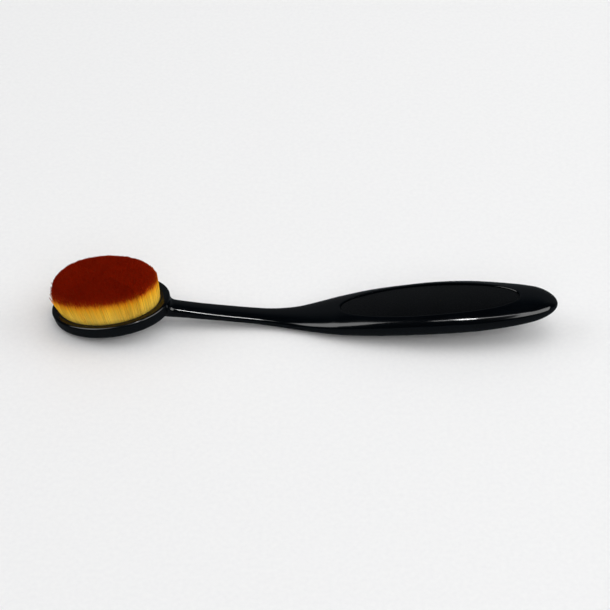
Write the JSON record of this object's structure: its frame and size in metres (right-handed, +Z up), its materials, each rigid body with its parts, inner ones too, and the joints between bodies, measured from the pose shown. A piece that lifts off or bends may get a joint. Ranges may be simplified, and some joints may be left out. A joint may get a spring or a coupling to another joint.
{
  "type": "oval blending brush",
  "caption": "Oval blending brush with a dense domed tuft in a shallow cup, a slim flexible neck and a leaf-shaped grip with an oval inlay.",
  "frame": {"origin": "centre of the bounding box on the surface that the brush lies on, bristles up", "axes": "+X from the head to the tail along the handle, +Z up, +Y to the far side seen with the head on the left"},
  "size_m": [0.17, 0.0262, 0.0228],
  "materials": {
    "black_gloss": "gloss",
    "black_satin": "satin",
    "adhesive": "matte",
    "tray_black": "matte",
    "resin": "satin",
    "filament": "matte"
  },
  "bodies": {
    "root": {"handle_body": "black_gloss", "inlay_panel": "black_satin", "inlay_adhesive": "adhesive", "bristle_tray": "tray_black", "tray_adhesive": "adhesive", "root_potting": "resin", "bristle_tuft": "filament"}
  },
  "joints": []
}
